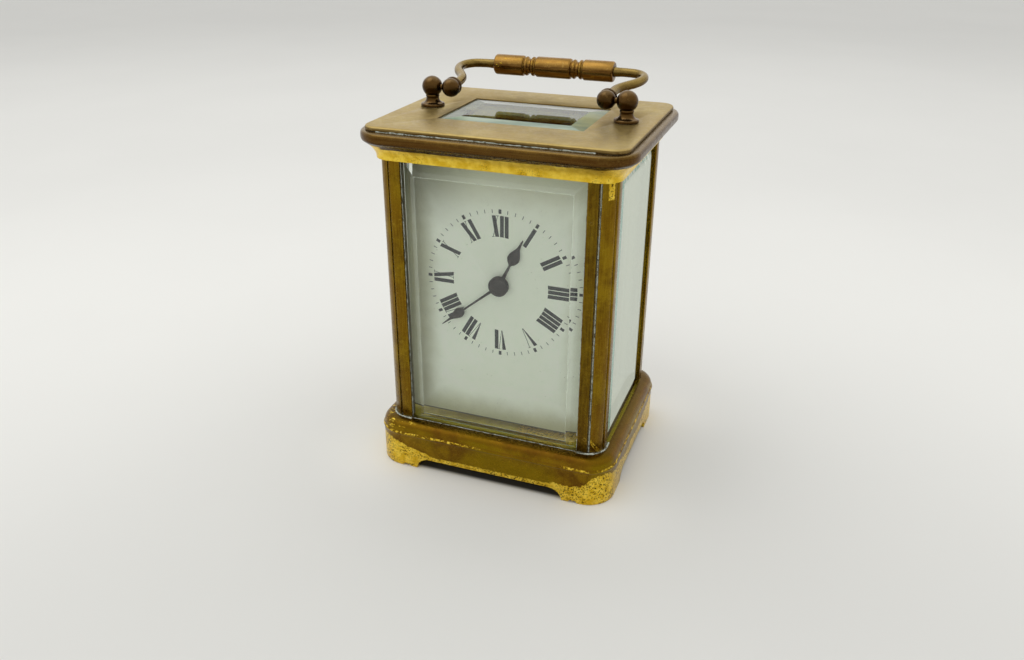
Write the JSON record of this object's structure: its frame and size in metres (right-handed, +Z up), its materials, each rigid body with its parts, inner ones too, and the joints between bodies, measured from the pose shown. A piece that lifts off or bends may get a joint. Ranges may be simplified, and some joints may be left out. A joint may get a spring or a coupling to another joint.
{
  "type": "carriage clock",
  "caption": "Small brass carriage clock with bevelled glasses, folding handle, rear door, white dial and a spring-driven movement with platform lever escapement.",
  "frame": {"origin": "centre of the footprint, on the plane the feet stand on", "axes": "+X to the right seen from the dial side, +Y from the dial to the rear door, +Z up"},
  "size_m": [0.081, 0.069, 0.1225],
  "materials": {
    "case_brass": "aged, worn lacquer",
    "movement_brass": "brushed, lacquered",
    "steel": "polished steel",
    "blued_steel": "dark blued",
    "glass": "polished bevelled glass",
    "enamel": "glossy white enamel"
  },
  "bodies": {
    "case": {"base_moulding": "case_brass", "floor_plate": "case_brass", "pillar_front_left": "case_brass", "pillar_front_right": "case_brass", "pillar_rear_left": "case_brass", "pillar_rear_right": "case_brass", "front_glass": "glass", "left_glass": "glass", "right_glass": "glass", "cornice": "case_brass", "top_plate": "case_brass", "top_glass": "glass", "top_glass_retainer": "case_brass", "handle_post_left": "case_brass", "handle_post_right": "case_brass", "handle_post_nut_left": "case_brass", "handle_post_nut_right": "case_brass", "case_screw_front_left": "steel", "case_screw_front_right": "steel", "case_screw_rear_left": "steel", "case_screw_rear_right": "steel", "door_pivot_pin_bottom": "steel", "door_pivot_pin_top": "steel", "dial": "enamel", "front_plate": "movement_brass", "back_plate": "movement_brass", "movement_pillar_lower_left": "movement_brass", "movement_pillar_lower_right": "movement_brass", "movement_pillar_upper_left": "movement_brass", "movement_pillar_upper_right": "movement_brass", "platform_plate": "movement_brass", "escape_bridge": "movement_brass", "balance_cock": "movement_brass"},
    "handle": {"handle_arm_left": "case_brass", "handle_arm_right": "case_brass", "handle_grip": "case_brass"},
    "rear_door": {"rear_door_frame": "case_brass", "rear_door_glass": "glass", "rear_door_knob": "case_brass"},
    "winding_arbor": {"barrel_arbor": "steel", "ratchet_wheel": "steel"},
    "click": {"click": "steel"},
    "barrel": {"barrel_drum": "movement_brass", "barrel_cap": "movement_brass", "mainspring": "steel"},
    "intermediate_wheel": {"intermediate_wheel": "movement_brass"},
    "centre_wheel": {"centre_wheel": "movement_brass"},
    "third_wheel": {"third_wheel": "movement_brass"},
    "contrate_wheel": {"contrate_wheel": "movement_brass"},
    "escape_wheel": {"escape_wheel": "steel"},
    "minute_arbor": {"cannon_pinion": "steel", "minute_hand": "blued_steel", "hand_collet": "blued_steel"},
    "minute_wheel": {"minute_wheel": "movement_brass"},
    "hour_pipe": {"hour_wheel": "movement_brass", "hour_hand": "blued_steel"},
    "pallet_lever": {"pallet_lever": "steel"},
    "balance": {"balance_wheel": "movement_brass", "hairspring": "blued_steel"}
  },
  "joints": [
    {"name": "handle_fold", "type": "hinge", "parent": "case", "child": "handle", "pos_m": [0, 0, 0.11615], "axis": [1, 0, 0], "range_deg": [0, 166]},
    {"name": "rear_door_swing", "type": "hinge", "parent": "case", "child": "rear_door", "pos_m": [0.0259, 0.0263, 0.058], "axis": [0, 0, -1], "range_deg": [0, 92]},
    {"name": "winding", "type": "hinge", "parent": "case", "child": "winding_arbor", "pos_m": [-0.008, 0, 0.0375], "axis": [0, 1, 0], "continuous": true},
    {"name": "click_lift", "type": "hinge", "parent": "case", "child": "click", "pos_m": [0.0052, 0.0174, 0.0447], "axis": [0, 1, 0], "range_deg": [0, 12]},
    {"name": "third_spin", "type": "hinge", "parent": "case", "child": "third_wheel", "pos_m": [-0.0126, 0, 0.071], "axis": [0, 1, 0], "continuous": true},
    {"name": "centre_spin", "type": "hinge", "parent": "case", "child": "centre_wheel", "pos_m": [0, 0, 0.064], "axis": [0, 1, 0], "continuous": true},
    {"name": "intermediate_spin", "type": "hinge", "parent": "case", "child": "intermediate_wheel", "pos_m": [0.00958, 0, 0.0515], "axis": [0, 1, 0], "continuous": true},
    {"name": "barrel_spin", "type": "hinge", "parent": "case", "child": "barrel", "pos_m": [-0.008, 0, 0.0375], "axis": [0, 1, 0], "continuous": true},
    {"name": "contrate_spin", "type": "hinge", "parent": "case", "child": "contrate_wheel", "pos_m": [-0.001, 0, 0.0785], "axis": [0, 1, 0], "continuous": true},
    {"name": "escape_spin", "type": "hinge", "parent": "case", "child": "escape_wheel", "pos_m": [-0.001, 0.00345, 0.0895], "axis": [0, 0, 1], "continuous": true},
    {"name": "minute_spin", "type": "hinge", "parent": "case", "child": "minute_arbor", "pos_m": [0, -0.0171, 0.064], "axis": [0, 1, 0], "continuous": true},
    {"name": "minute_wheel_spin", "type": "hinge", "parent": "case", "child": "minute_wheel", "pos_m": [0.00566, -0.0171, 0.05834], "axis": [0, 1, 0], "continuous": true},
    {"name": "hour_spin", "type": "hinge", "parent": "case", "child": "hour_pipe", "pos_m": [0, -0.0191, 0.064], "axis": [0, 1, 0], "continuous": true},
    {"name": "lever_swing", "type": "hinge", "parent": "case", "child": "pallet_lever", "pos_m": [0.0052, 0.00345, 0.0945], "axis": [0, 0, 1], "range_deg": [-5, 5]},
    {"name": "balance_swing", "type": "hinge", "parent": "case", "child": "balance", "pos_m": [0.0107, 0.00345, 0.0985], "axis": [0, 0, 1], "range_deg": [-135, 135]}
  ],
  "couplings": [
    {"joint": "centre_spin", "follows": "third_spin", "ratio": -0.125},
    {"joint": "intermediate_spin", "follows": "third_spin", "ratio": 0.020833},
    {"joint": "barrel_spin", "follows": "third_spin", "ratio": -0.0026042},
    {"joint": "contrate_spin", "follows": "third_spin", "ratio": -7.5},
    {"joint": "escape_spin", "follows": "third_spin", "ratio": -60},
    {"joint": "minute_wheel_spin", "follows": "minute_spin", "ratio": -0.33333},
    {"joint": "hour_spin", "follows": "minute_spin", "ratio": 0.083333}
  ]
}
